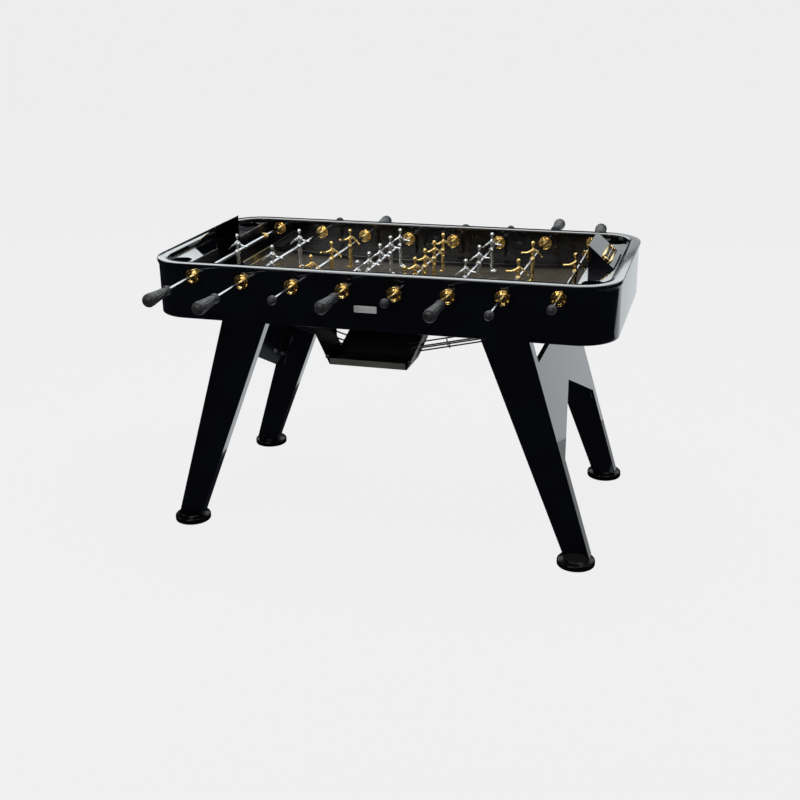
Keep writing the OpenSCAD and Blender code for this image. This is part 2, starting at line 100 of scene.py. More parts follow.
def material(name, dark, light, rough, metallic=0.0, coat=0.0, coat_rough=0.05, grain=40.0,
             stretch=(1, 1, 1), bump=0.02, bump_scale=400.0, bump_stretch=(1, 1, 1), specular=0.5):
    """A Principled finish whose colour, roughness and surface vary by noise. rough is (least, most)."""
    m = bpy.data.materials.new(name)
    m.use_nodes = True
    nt = m.node_tree
    bsdf = nt.nodes["Principled BSDF"]
    coord = nt.nodes.new("ShaderNodeTexCoord").outputs["Object"]
    grain_vector = stretched(nt, coord, stretch)
    bump_vector = stretched(nt, coord, bump_stretch)
    patches = noise(nt, grain_vector, grain, 4.0)
    mix = nt.nodes.new("ShaderNodeMix")
    mix.data_type = "RGBA"
    mix.inputs[6].default_value = (*dark, 1)
    mix.inputs[7].default_value = (*light, 1)
    nt.links.new(ramp_value(nt, patches, 0.0, 1.0), mix.inputs[0])
    nt.links.new(mix.outputs[2], bsdf.inputs["Base Color"])
    wear = noise(nt, grain_vector, grain * 0.37, 5.0)
    nt.links.new(ramp_value(nt, wear, *rough), bsdf.inputs["Roughness"])
    bsdf.inputs["Metallic"].default_value = metallic
    bsdf.inputs["Coat Weight"].default_value = coat
    bsdf.inputs["Coat Roughness"].default_value = coat_rough
    bsdf.inputs["Specular IOR Level"].default_value = specular
    lump = nt.nodes.new("ShaderNodeBump")
    lump.inputs["Strength"].default_value = bump
    lump.inputs["Distance"].default_value = 0.001
    nt.links.new(noise(nt, bump_vector, bump_scale, 2.0), lump.inputs["Height"])
    nt.links.new(lump.outputs["Normal"], bsdf.inputs["Normal"])
    return m


COAT = material("black_coat", (0.0012, 0.0012, 0.002), (0.002, 0.0025, 0.004), (0.06, 0.11), coat=0.5,
                coat_rough=0.04, grain=6, bump=0.035, bump_scale=260)
COAT_INNER = material("black_coat_inner", (0.003, 0.003, 0.005), (0.005, 0.005, 0.008), (0.18, 0.3),
                      coat=0.12, coat_rough=0.12, grain=6, bump=0.05, bump_scale=260, specular=0.3)
FIELD = material("field", (0.075, 0.066, 0.05), (0.1, 0.088, 0.066), (0.16, 0.3), coat=0.5,
                 coat_rough=0.1, grain=9, stretch=(1, 3, 1), bump=0.03, bump_scale=500)
GOLD = material("gold_metal", (0.8, 0.54, 0.18), (0.96, 0.72, 0.3), (0.1, 0.24), metallic=1.0, grain=70,
                bump=0.05, bump_scale=900)
SILVER = material("silver_metal", (0.6, 0.62, 0.63), (0.86, 0.88, 0.88), (0.14, 0.28), metallic=1.0,
                  grain=90, bump=0.06, bump_scale=900)
CHROME = material("rod_chrome", (0.35, 0.36, 0.38), (0.5, 0.51, 0.53), (0.08, 0.18), metallic=1.0,
                  grain=30, stretch=(1, 0.05, 1), bump=0.02, bump_scale=1500, bump_stretch=(1, 0.02, 1))
GRIP = material("grip_black", (0.008, 0.008, 0.009), (0.018, 0.019, 0.021), (0.32, 0.5), grain=60,
                bump=0.12, bump_scale=1400)
FOOT = material("foot_black", (0.001, 0.001, 0.0015), (0.002, 0.002, 0.003), (0.16, 0.26), coat=0.03,
                grain=12, bump=0.03, bump_scale=300, specular=0.12)
TRAY = material("tray_black", (0.001, 0.001, 0.0014), (0.0022, 0.0022, 0.003), (0.4, 0.55), grain=14,
                bump=0.05, bump_scale=300, specular=0.15)
# Painted reflection: a grey lighter than the tray's black, standing in for the lit floor that the front of
# the tray's lip mirrors.
LIP_REFLECTION = material("tray_lip_painted_reflection", (0.036, 0.036, 0.03), (0.056, 0.056, 0.047), (0.3, 0.45), grain=14,
               bump=0.04, bump_scale=400, specular=0.3)
WIRE = material("wire_black", (0.008, 0.008, 0.01), (0.016, 0.016, 0.019), (0.25, 0.4), coat=0.3,
                grain=40, bump=0.06, bump_scale=700)
STEEL = material("satin_steel", (0.36, 0.37, 0.38), (0.52, 0.53, 0.54), (0.24, 0.4), metallic=1.0,
                 grain=60, bump=0.05, bump_scale=1200)
BADGE = material("badge_metal", (0.6, 0.6, 0.59), (0.72, 0.72, 0.71), (0.3, 0.42), metallic=0.6,
                 grain=40, stretch=(1, 1, 14), bump=0.04, bump_scale=1500, bump_stretch=(0.1, 1, 3))
# Painted highlight: the yellow of thin bands on the sloped end strips' edges, standing in for the edges
# catching light reflected from the gold parts.
EDGE_HIGHLIGHT = material("painted_edge_highlight", (0.33, 0.28, 0.12), (0.46, 0.4, 0.19), (0.3, 0.42), grain=50, bump=0.04,
                bump_scale=900)
DIGIT = material("digit_paint", (0.55, 0.5, 0.38), (0.68, 0.62, 0.48), (0.35, 0.5), grain=90, bump=0.04,
                 bump_scale=900)
SLOTS = {"black_coat": COAT, "field": FIELD, "gold_metal": GOLD, "silver_team": SILVER,
         "rod_chrome": CHROME, "grip": GRIP, "sleeve": GOLD, "foot_black": FOOT, "wire": WIRE,
         "marker": STEEL, "bolt": STEEL, "badge": BADGE}


# ---- making meshes ----

def from_bmesh(bm, name):
    me = bpy.data.meshes.new(name)
    bm.to_mesh(me)
    bm.free()
    obj = bpy.data.objects.new(name, me)
    bpy.context.scene.collection.objects.link(obj)
    return obj


def finish_piece(obj, mats, body, nodes=(), sharp=35.0):
    """Gives a piece its materials, smooth shading up to the sharp angle, body and replaced nodes."""
    me = obj.data
    me.materials.clear()
    for m in mats if isinstance(mats, (list, tuple)) else [mats]:
        me.materials.append(m)
    for p in me.polygons:
        p.use_smooth = True
    if sharp:
        me.set_sharp_from_angle(angle=math.radians(sharp))
    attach(obj, body)
    if nodes:
        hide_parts(*nodes)
    return obj


def finish_mesh(bm, name, mats, body, nodes=(), sharp=35.0):
    bmesh.ops.recalc_face_normals(bm, faces=bm.faces)
    return finish_piece(from_bmesh(bm, name), mats, body, nodes, sharp)


def add_grid(bm, rows, close_u=True, close_v=False, matrix=None):
    """Joins rows of points with quads. close_u closes each row, close_v joins the last row to the first."""
    matrix = matrix or Matrix()
    flipped = matrix.determinant() < 0
    made = [[bm.verts.new(matrix @ Vector(p)) for p in row] for row in rows]
    pairs = list(zip(made, made[1:]))
    if close_v:
        pairs.append((made[-1], made[0]))
    for low, high in pairs:
        n = len(low)
        for k in range(n if close_u else n - 1):
            quad = [low[k], low[(k + 1) % n], high[(k + 1) % n], high[k]]
            quad = list(dict.fromkeys(reversed(quad) if flipped else quad))
            if len(quad) > 2:
                bm.faces.new(quad)
    return made


def add_lathe(bm, profile, segs, matrix, shape=None, close=True):
    """Turns (radius, along) points about the Y axis. shape(angle, along) is what is taken off the radius."""
    least = 0.00005
    rows = []
    for r, y in profile:
        row = []
        for k in range(segs):
            a = TAU * k / segs
            rr = max(r - (shape(a, y) if shape else 0.0), least)
            row.append((rr * math.sin(a), y, rr * math.cos(a)))
        rows.append(row)
    add_grid(bm, rows, True, close, matrix)


def facing(x, z, side, y=0.0):
    """A place on a rod's axis or a wall, with Y turned round for side -1."""
    return Matrix.Translation((x, y, z)) @ Matrix.Diagonal((1, side, 1, 1))


def arc(cx, cy, r, a0, a1, n):
    """Points on a circle from angle a0 to a1, in degrees, in n steps."""
    angles = [math.radians(a0 + (a1 - a0) * k / n) for k in range(n + 1)]
    return [(cx + r * math.cos(a), cy + r * math.sin(a)) for a in angles]


def rounded_path(half_l, half_w, r, segs=20):
    """Points of a rounded rectangle with outward normals, counter-clockwise."""
    out = []
    for sx, sy, a0 in ((1, 1, 0), (-1, 1, 90), (-1, -1, 180), (1, -1, 270)):
        for k in range(segs + 1):
            a = math.radians(a0 + 90 * k / segs)
            n = (math.cos(a), math.sin(a))
            out.append(((sx * (half_l - r) + r * n[0], sy * (half_w - r) + r * n[1]), n))
    return out


def sweep_band(name, outer, r, profile, nodes=()):
    """Carries a closed (inset, z) profile round a rounded rectangle of black sheet."""
    bm = bmesh.new()
    path = rounded_path(outer[0], outer[1], r)
    rows = [[(p[0] - n[0] * i, p[1] - n[1] * i, z) for p, n in path] for i, z in profile]
    add_grid(bm, rows, True, True)
    finish_mesh(bm, name, COAT, TABLE, nodes)


def beveled_box(bm, lo, hi, matrix, offset):
    made = bmesh.ops.create_cube(bm, size=1.0)["verts"]
    lo, hi = Vector(lo), Vector(hi)
    for v in made:
        v.co = Vector(((v.co[k] + 0.5) * (hi[k] - lo[k]) + lo[k] for k in range(3)))
    edges = list({e for v in made for e in v.link_edges})
    out = bmesh.ops.bevel(bm, geom=edges, offset=offset, segments=2, profile=0.5, affect="EDGES")
    verts = {v for f in out["faces"] for v in f.verts} | {v for v in made if v.is_valid}
    for v in verts:
        v.co = matrix @ v.co


def dressed(node, name, mat, bevel, segments=2, angle=32.0, flats=True):
    """A copy of a CAD node's mesh, its flats joined and its edges steeper than the angle rounded."""
    bm = bmesh.new()
    bm.from_mesh(NODES[node].data)
    bm.transform(NODES[node].matrix_world)
    bmesh.ops.remove_doubles(bm, verts=bm.verts, dist=0.00001)
    if flats:
        bmesh.ops.dissolve_limit(bm, angle_limit=math.radians(0.4), verts=bm.verts, edges=bm.edges)
    if bevel:
        limit = math.radians(angle)
        edges = [e for e in bm.edges if len(e.link_faces) == 2 and e.calc_face_angle(0) > limit]
        bmesh.ops.bevel(bm, geom=edges, offset=bevel, segments=segments, profile=0.5, affect="EDGES",
                        clamp_overlap=True)
    bmesh.ops.triangulate(bm, faces=[f for f in bm.faces if len(f.verts) > 4])
    return finish_piece(from_bmesh(bm, name), mat, TABLE, [node], 12.0)


# ---- cabinet ----

def cabinet():
    rim()
    shell()
    for node, name in (("left_deck", "left_end_deck"), ("right_deck", "right_end_deck")):
        dressed(node, name, COAT, 0.0007)
    for node in ("left_score_hood", "right_score_hood"):
        dressed(node, node + "_plate", COAT, 0.0008)
    dressed("goal_walls", "goal_pockets", COAT_INNER, 0.0007)
    dressed("subframe", "field_beams", COAT_INNER, 0.001)
    dressed("playfield", "playing_surface", FIELD, 0.0, flats=False)
    dressed("side_strips", "field_side_strips", COAT_INNER, 0.0012, angle=60, flats=False)
    paint_strip_highlights()


def rim():
    """A band with rolled upper edges."""
    top, under = RIM_HI[2], RIM_LO[2]
    roll, edge = 0.0028, 0.0012
    profile = arc(roll, top - roll, roll, 180, 90, 4)
    profile += arc(RIM_BAND - roll, top - roll, roll, 90, 0, 4)
    profile += [(RIM_BAND, under + edge), (RIM_BAND - edge, under), (edge, under), (0.0, under + edge)]
    sweep_band("rim_band", RIM_HI, RIM_R, profile, ["top_rim"])


def shell():
    """The wall with its rolled foot and turned-in flange, and the fold under the rim."""
    low, high = SHELL_LO[2], SHELL_HI[2]
    roll, flange, chamfer, fillet = 0.0026, 0.022, 0.0004, 0.001
    profile = [(0.0, high - 0.006), (0.0, low + 0.02)]
    profile += arc(roll, low + roll, roll, 180, 270, 4)
    profile += [(flange - 0.0002, low), (flange, low + chamfer), (flange, low + SHEET - chamfer)]
    profile += [(flange - chamfer, low + SHEET), (SHEET + fillet, low + SHEET)]
    profile += [(SHEET, low + SHEET + fillet), (SHEET, high), (0.0, high)]
    sweep_band("cabinet_wall", SHELL_HI, SHELL_R, profile, ["cabinet_shell"])
    fold = [(0.0, high - 0.0075), (-0.0016, high - 0.0065), (-0.002, high - 0.005)]
    fold += [(-0.002, high - 0.0012), (-0.0014, high - 0.0004), (0.0, high - 0.0004)]
    sweep_band("cabinet_top_fold", SHELL_HI, SHELL_R, fold)


def paint_strip_highlights():
    """Painted highlights: thin yellow bands along the upper and lower edges of the sloped strips at the
    playfield's ends, standing in for the edges catching light reflected from the gold parts.
    """
    highlight_bm = bmesh.new()
    foot_x, foot_z, run, rise = 0.617, 0.801, 0.0235, 0.02
    near_goal, near_wall = 0.103, 0.370
    highlight_w, highlight_t = 0.003, 0.0004
    tilt = Matrix.Rotation(-math.atan2(rise, run), 4, "Y")
    slope = math.hypot(run, rise)
    for sx in (-1, 1):
        at = Matrix.Diagonal((sx, 1, 1, 1)) @ Matrix.Translation((foot_x, 0, foot_z)) @ tilt
        for sy in (-1, 1):
            y0, y1 = sorted((sy * near_goal, sy * near_wall))
            # Each strip gets a painted highlight band at its lower edge and at its upper edge.
            for s in (0.0015, slope - 0.0045):
                beveled_box(highlight_bm, (s, y0, 0.0), (s + highlight_w, y1, highlight_t), at, 0.0001)
    finish_mesh(highlight_bm, "end_strip_painted_highlights", EDGE_HIGHLIGHT, TABLE)


# ---- bearings ----

SCREW_RING = 0.0195
SCREW_ANGLES = (90, 210, 330)


def flange_profile(inner, side):
    """A dished disc with a raised rim and a hub. inner is the wall's face, side +1 for the outer one."""
    disc, hub, dish = (0.013, 0.015, 0.0046) if side > 0 else (0.004, 0.012, 0.0014)
    r, hub_r, bore, chamfer = 0.024, 0.0142, 0.01055, 0.0007
    p = [(r - 0.0006, 0.0), (r, 0.0006)]
    p += arc(r - 0.0011, disc - 0.0011, 0.0011, 0, 160, 6)
    p += [(r - 0.0026, disc - 0.0012), (r - 0.0034, disc - dish * 0.55), (r - 0.0052, disc - dish * 0.85)]
    p += [(r - 0.0072, disc - dish), (hub_r + 0.0022, disc - dish)]
    p += [(hub_r + 0.0008, disc - dish * 0.8), (hub_r + 0.0002, disc - dish * 0.4)]
    p += arc(hub_r - 0.0014, hub - 0.0014, 0.0014, 0, 90, 4)
    p += [(bore + chamfer, hub), (bore, hub - chamfer), (bore, 0.0)]
    return [(x, inner + side * y) for x, y in p]


def screw_profile(start, side):
    """A domed head with a round socket, standing out from start."""
    head_r, rise, socket_r = 0.0036, 0.0024, 0.0015
    p = [(0.0001, 0.0), (head_r - 0.0002, 0.0), (head_r, 0.0006)]
    for k in (0, 25, 50, 62):
        a = math.radians(k)
        p.append((head_r * math.cos(a), 0.0008 + rise * math.sin(a)))
    p += [(socket_r, 0.003), (socket_r - 0.0001, 0.0014), (0.0001, 0.0012)]
    return [(x, start + side * y) for x, y in p]


def bearings():
    flanges = bmesh.new()
    screws = bmesh.new()
    seats = ((WALL_Y + 0.0088, 1), (INNER_WALL_Y - 0.0026, -1))
    for axis in ROD_AXES.values():
        for face in (1, -1):
            at = facing(axis.x, axis.z, face)
            add_lathe(flanges, flange_profile(WALL_Y, 1), 48, at)
            add_lathe(flanges, flange_profile(INNER_WALL_Y, -1), 48, at)
            for a in (math.radians(deg) for deg in SCREW_ANGLES):
                x = axis.x + SCREW_RING * math.cos(a)
                z = axis.z + SCREW_RING * math.sin(a)
                for start, side in seats:
                    profile = screw_profile(start, side)
                    add_lathe(screws, profile, 12, facing(x, z, face), close=False)
    finish_mesh(flanges, "rod_flanges", GOLD, TABLE, ["bearing_flanges"])
    finish_mesh(screws, "flange_screw_heads", GOLD, TABLE, ["flange_screws"])


# ---- grips ----

HANDLE_L = 0.136
CAP_L = 0.026
HANDLE_BORE = 0.0051
FLUTES = 14
FLUTE_DEPTH = 0.0014
FLUTE_START = 0.041
FLUTE_END = 0.104
FLUTE_FADE = 0.006


def handle_profile():
    """It widens outward: a smooth collar with two rings, a fluted body, a rounded, ringed end."""
    p = [(HANDLE_BORE, 0.0), (0.0146, 0.0), (0.0158, 0.001), (0.0162, 0.003), (0.0162, 0.006)]
    p += [(0.0155, 0.0068), (0.0155, 0.0078), (0.0162, 0.0086), (0.0162, 0.0115), (0.0156, 0.0135)]
    p += [(0.0136, 0.0165), (0.0127, 0.0195), (0.0126, 0.0255), (0.0134, 0.029), (0.0148, 0.0325)]
    p += [(0.0155, 0.0355), (0.0149, 0.0372)]
    body_start, body_r, body_l, widening, steps = 0.039, 0.0152, 0.067, 0.0052, 14
    p += [(body_r + widening * k / steps, body_start + body_l * k / steps) for k in range(steps + 1)]
    p += [(0.0208, 0.1065), (0.021, 0.108), (0.0202, 0.1092), (0.0202, 0.1108), (0.021, 0.112)]
    end_r, end_l, steps = 0.021, 0.0145, 8
    for k in range(steps):
        a = math.radians(90 * k / steps)
        p.append((end_r * math.cos(a) ** 0.85, HANDLE_L - end_l + end_l * math.sin(a)))
    return p + [(0.0001, HANDLE_L)]


def cap_profile():
    """A ball end with one ring."""
    r, round_start = 0.0145, 0.014
    p = [(HANDLE_BORE, 0.0), (0.0118, 0.0), (0.013, 0.001), (0.0142, 0.004), (r, 0.008)]
    p += [(0.0139, 0.0088), (0.0139, 0.0098), (r, 0.0106), (r, round_start)]
    for a in (math.radians(deg) for deg in range(15, 90, 15)):
        p.append((r * math.cos(a), round_start + (CAP_L - round_start) * math.sin(a)))
    return p + [(0.0001, CAP_L)]


def flutes(angle, along):
    start = min(max((along - FLUTE_START) / FLUTE_FADE, 0), 1)
    end = min(max((FLUTE_END - along) / FLUTE_FADE, 0), 1)
    return FLUTE_DEPTH * start * end * (0.5 + 0.5 * math.cos(FLUTES * angle)) ** 2


def grips():
    for i, front in enumerate(FRONT_GRIP):
        node = f"grips_{i + 1}"
        lo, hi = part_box(node)
        axis = ROD_AXES[f"bush_{i + 1}"]
        side = -1 if front else 1
        handle_end = lo[1] if front else hi[1]
        cap_end = hi[1] if front else lo[1]
        bm = bmesh.new()
        at = facing(axis.x, axis.z, side, handle_end - side * HANDLE_L)
        add_lathe(bm, handle_profile(), 80, at, flutes, False)
        at = facing(axis.x, axis.z, -side, cap_end + side * CAP_L)
        add_lathe(bm, cap_profile(), 40, at, None, False)
        finish_mesh(bm, f"handle_{i + 1}", GRIP, f"player_rod_{i + 1}", [node], 40)


# ---- players ----

# A figure is laid out in millimetres about the rod's axis, facing +X, and then brought down to metres.
MM = 0.001
LIMB_SIDES = 16


def capsule(bm, p, q, r0, r1):
    """A tapered limb from p to q, with round ends.

    Its two end faces take the last listed points, which beside a sphere aren't always the limb's own.
    """
    p, q = Vector(p), Vector(q)
    d = (q - p).normalized()
    side = d.cross(Vector((0, 1, 0)))
    side = side.normalized() if side.length > 0.01 else Vector((1, 0, 0))
    other = d.cross(side).normalized()
    least, steps = 0.00002, 5
    rings = []
    for k in range(-steps, steps + 1):
        a = math.radians(90 * k / steps)
        if k < 0:
            rings.append((p + d * (r0 * math.sin(a)), max(r0 * math.cos(a), least)))
        elif k == 0:
            rings.append((p, r0))
            rings.append((q, r1))
        else:
            rings.append((q + d * (r1 * math.sin(a)), max(r1 * math.cos(a), least)))
    angles = [TAU * n / LIMB_SIDES for n in range(LIMB_SIDES)]
    rows = [[c + (side * math.cos(a) * r + other * math.sin(a) * r) for a in angles] for c, r in rings]
    add_grid(bm, rows, True, False)
    bm.verts.ensure_lookup_table()
    count = len(rows) * LIMB_SIDES
    bm.faces.new(list(reversed(bm.verts[-count:][:LIMB_SIDES])))
    bm.faces.new(bm.verts[-LIMB_SIDES:])


def blob(bm, centre, radii, tilt=0.0):
    turn = Matrix.Rotation(math.radians(tilt), 4, "Y")
    m = Matrix.Translation(centre) @ turn @ Matrix.Diagonal((*radii, 1))
    bmesh.ops.create_uvsphere(bm, u_segments=24, v_segments=16, radius=1.0, matrix=m)


def head_and_trunk(bm):
    blob(bm, (0.4, 0, 58.6), (7.4, 6.8, 8.6))
    blob(bm, (1.6, 0, 54.6), (5.2, 4.8, 5.4))
    capsule(bm, (-0.6, 0, 38), (0, 0, 51), 3.9, 3.3)
    capsule(bm, (-0.6, -9.2, 35.4), (-0.6, 9.2, 35.4), 4.3, 4.3)
    capsule(bm, (-0.8, 0, 36), (-0.6, 0, 42), 6.4, 3.6)
    blob(bm, (0.6, 0, 27), (7.4, 10.6, 10.5), -4)
    for s in (-1, 1):
        blob(bm, (4.2, s * 4.4, 29.5), (4.2, 4.9, 4.6))
        blob(bm, (-3.6, s * 5.2, 28.5), (4.0, 5.0, 6.5))
    blob(bm, (0.2, 0, 14), (6.2, 8.2, 10))
    blob(bm, (0, 0, 2), (8.8, 10.8, 9.6))
    capsule(bm, (0, -11.4, 0), (0, 11.4, 0), 9.3, 9.3)


def leg_and_shoe(bm, s):
    capsule(bm, (0.2, s * 6.1, -8), (1.6, s * 6.9, -38), 6.6, 4.5)
    blob(bm, (-2.6, s * 6.3, -8.5), (6.2, 5.8, 6.4))
    blob(bm, (1.2, s * 6.5, -22), (5.8, 5.3, 13))
    blob(bm, (2.7, s * 6.9, -40.5), (4.2, 4.0, 4.8))
    capsule(bm, (1.4, s * 6.9, -40), (0.2, s * 7.1, -72), 4.3, 3.1)
    blob(bm, (-1.5, s * 7.0, -51), (4.1, 4.1, 10))
    capsule(bm, (-2.6, s * 7.1, -74.6), (1, s * 7.1, -72), 3.6, 3.2)
    capsule(bm, (-2.2, s * 7.2, -76.4), (14.6, s * 8.0, -77.2), 3.5, 2.8)
    blob(bm, (7.0, s * 7.7, -75.4), (7.6, 3.9, 3.9), 12)


def arm(bm, shoulder, elbow, hand, fist):
    capsule(bm, shoulder, elbow, 4.4, 3.6)
    capsule(bm, elbow, hand, 3.6, 2.8)
    d = (Vector(hand) - Vector(elbow)).normalized()
    blob(bm, Vector(hand) + d * 1.2, (fist, fist * 0.85, fist * 0.9))


def figure(name, front_arm, rear_arm):
    """A standing cast player with its parts made one skin. Each arm is (shoulder, elbow, hand, fist)."""
    upper_scale, sole_z = 0.93, -0.0799
    bm = bmesh.new()
    head_and_trunk(bm)
    for s in (-1, 1):
        leg_and_shoe(bm, s)
    arm(bm, *front_arm)
    arm(bm, *rear_arm)
    bm.transform(Matrix.Scale(MM, 4))
    for v in bm.verts:
        v.co.z = max(v.co.z * (upper_scale if v.co.z > 0 else 1.0), sole_z)
    obj = from_bmesh(bm, name + "_raw")
    skin = obj.modifiers.new("skin", "REMESH")
    skin.mode = "VOXEL"
    skin.voxel_size = 1.15 * MM
    smooth = obj.modifiers.new("smooth", "SMOOTH")
    smooth.factor = 0.5
    smooth.iterations = 5
    lean = obj.modifiers.new("lean", "DECIMATE")
    lean.ratio = 0.34
    deps = bpy.context.evaluated_depsgraph_get()
    me = bpy.data.meshes.new_from_object(obj.evaluated_get(deps))
    bpy.data.objects.remove(obj)
    me.name = name
    return me


def players():
    left, right = (-0.4, 9.8, 34.8), (-0.4, -9.8, 34.8)
    silver = figure("silver_player", (left, (8.5, 14.4, 20.0), (30, 12.6, 17), 3.7),
                    (right, (-15, -14.6, 24), (-27.5, -13.4, 12), 3.7))
    gold = figure("gold_player", (left, (16.5, 13.8, 26.5), (34.5, 12.6, 24.5), 4.3),
                  (right, (-14.5, -14.6, 23), (-28.5, -13.2, 7), 3.8))
    silver_team = (silver, SILVER, "silver_team", 0)
    gold_team = (gold, GOLD, "gold_metal", math.pi)
    for i, n in enumerate(SQUAD):
        node = f"players_{i + 1}"
        lo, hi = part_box(node)
        middle = (lo[1] + hi[1]) / 2
        axis = ROD_AXES[f"bush_{i + 1}"]
        mesh, mat, slot, heading = silver_team if FRONT_GRIP[i] else gold_team
        for k in range(n):
            obj = bpy.data.objects.new(f"player_{i + 1}_{k + 1}", mesh)
            bpy.context.scene.collection.objects.link(obj)
            place = Vector((axis.x, middle + (k - (n - 1) / 2) * GAP[n], axis.z))
            obj.matrix_world = Matrix.Translation(place) @ Matrix.Rotation(heading, 4, "Z")
            finish_piece(obj, mat, f"player_rod_{i + 1}", [node], 0)


# ---- score counters ----

# The frame's middle down the hood's slope, its half sizes and height, and the guide bar's height and radius
COUNTER_S = 0.073
FRAME_HALF_W = 0.018
FRAME_HALF_L = 0.088
FRAME_H = 0.005
WINDOW_HALF_W = 0.01
WINDOW_HALF_L = 0.075
BAR_H = 0.0034
BAR_R = 0.0015
BEAD_HALF_L = 0.007
TICKS = 11
TICK_GAP = 0.0132


def on_slope(side):
    """The hood's slope: x down it from its upper edge, z out of it."""
    lo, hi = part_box("right_score_hood")
    angle = math.atan2(hi[2] - lo[2], hi[0] - lo[0])
    m = Matrix.Translation((lo[0], 0, hi[2])) @ Matrix.Rotation(angle, 4, "Y")
    return (Matrix.Diagonal((side, 1, 1, 1)) @ m) if side < 0 else m


def add_window(bm, at):
    """Four bars round the opening, and the guide bar across it."""
    bars = ((-FRAME_HALF_W, -WINDOW_HALF_W, -FRAME_HALF_L, FRAME_HALF_L),
            (WINDOW_HALF_W, FRAME_HALF_W, -FRAME_HALF_L, FRAME_HALF_L),
            (-WINDOW_HALF_W, WINDOW_HALF_W, -FRAME_HALF_L, -WINDOW_HALF_L),
            (-WINDOW_HALF_W, WINDOW_HALF_W, WINDOW_HALF_L, FRAME_HALF_L))
    for x0, x1, y0, y1 in bars:
        beveled_box(bm, (COUNTER_S + x0, y0, 0.0), (COUNTER_S + x1, y1, FRAME_H), at, 0.0009)
    bar = at @ Matrix.Translation((COUNTER_S, 0, BAR_H))
    add_lathe(bm, [(BAR_R, -WINDOW_HALF_L), (BAR_R, WINDOW_HALF_L)], 20, bar, None, False)


def add_ticks(bm, at, low, high):
    """A row of marks along both sides of the window, every fifth one longer."""
    inset, half_t = 0.0006, 0.0005
    for k in range(TICKS):
        y = (k - TICKS // 2) * TICK_GAP
        length = 0.0032 if k % 5 == 0 else 0.0022
        for edge in (-1, 1):
            outer = COUNTER_S + edge * (WINDOW_HALF_W - inset)
            x0, x1 = sorted((outer, outer - edge * length))
            beveled_box(bm, (x0, y - half_t, low), (x1, y + half_t, high), at, 0.0001)


def bead_profile():
    """A drum with a raised ring at each end and a bore for the guide bar."""
    half = [(BAR_R + 0.00015, BEAD_HALF_L), (0.0022, BEAD_HALF_L), (0.0028, 0.0064), (0.003, 0.0052)]
    half += [(0.0027, 0.0038)]
    return [(r, -y) for r, y in half] + [(0.0025, 0.0)] + half[::-1]


def score_counters():
    scale_t, tick_top = 0.0008, 0.0011
    windows, scales, ticks = bmesh.new(), bmesh.new(), bmesh.new()
    for side in (-1, 1):
        at = on_slope(side)
        add_window(windows, at)
        beveled_box(scales, (COUNTER_S - WINDOW_HALF_W, -WINDOW_HALF_L, 0.0),
                    (COUNTER_S + WINDOW_HALF_W, WINDOW_HALF_L, scale_t), at, 0.0002)
        add_ticks(ticks, at, scale_t, tick_top)
    finish_mesh(windows, "score_windows", GOLD, TABLE, ["score_frames"])
    finish_mesh(scales, "score_scales", TRAY, TABLE)
    finish_mesh(ticks, "score_ticks", DIGIT, TABLE)
    for side, name in ((-1, "left"), (1, "right")):
        bead = bmesh.new()
        at = on_slope(side) @ Matrix.Translation((COUNTER_S, 0, BAR_H))
        add_lathe(bead, bead_profile(), 32, at)
        finish_mesh(bead, f"{name}_score_bead", STEEL, f"{name}_marker", [f"{name}_score_marker"])


# ---- stand ----

FOOT_R = 0.062


def stand():
    for node in ("front_left_leg", "front_right_leg", "rear_left_leg", "rear_right_leg"):
        dressed(node, node + "_post", COAT, 0.0016, segments=3)
    for node in ("left_end_plate", "right_end_plate"):
        dressed(node, node + "_sheet", COAT, 0.0007)
    feet()


def feet():
    """Discs with an upright edge and a domed top."""
    lo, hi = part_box("feet")
    r, h = FOOT_R, hi[2]
    profile = [(0.0001, 0.0), (r - 0.0036, 0.0), (r - 0.0014, 0.0008), (r - 0.0004, 0.0022)]
    profile += [(r, 0.0042), (r, 0.0135)]
    profile += arc(r - 0.006, 0.0138, 0.006, 15, 75, 6)
    profile += [(r - 0.01, 0.0218), (r - 0.0165, 0.0239), (r - 0.0185, 0.0252), (r - 0.0195, h)]
    profile += [(0.0001, h)]
    upright = Matrix.Rotation(math.pi / 2, 4, "X")
    bm = bmesh.new()
    for sx in (-1, 1):
        for sy in (-1, 1):
            at = Matrix.Translation((sx * (hi[0] - r), sy * (hi[1] - r), 0)) @ upright
            add_lathe(bm, profile, 72, at, None, False)
    finish_mesh(bm, "foot_pads", FOOT, TABLE, ["feet"])


# ---- ball tray and name plate ----

def ball_tray():
    """The tray, with the front of its lip coloured a lighter grey as a painted reflection of the lit floor
    in front, and a bolt at each end of the lip.
    """
    tray = dressed("ball_tray", "ball_return_tray", [TRAY, LIP_REFLECTION], 0.0007)
    lo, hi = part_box("ball_tray")
    lip_y, lip_z = lo[1] + 0.012, lo[2] + 0.026
    # The lip's front faces get the lighter grey, a painted reflection of the lit floor.
    for face in tray.data.polygons:
        if face.center.y < lip_y and face.center.z < lip_z and face.normal.y < -0.5:
            face.material_index = 1
    bolts = bmesh.new()
    middle, bolt_x, bolt_r = (lo[0] + hi[0]) / 2, 0.1385, 0.0058
    y = lo[1] + 0.0095
    profile = [(0.0001, y + 0.006), (0.0052, y + 0.006), (bolt_r, y + 0.0054), (bolt_r, y + 0.001)]
    profile += [(0.0052, y), (0.0032, y - 0.0004), (0.0026, y + 0.0006), (0.0001, y + 0.0008)]
    for sx in (-1, 1):
        at = Matrix.Translation((middle + sx * bolt_x, 0, lo[2] + 0.0245))
        add_lathe(bolts, profile, 24, at, None, False)
    finish_mesh(bolts, "tray_corner_bolts", STEEL, TABLE)


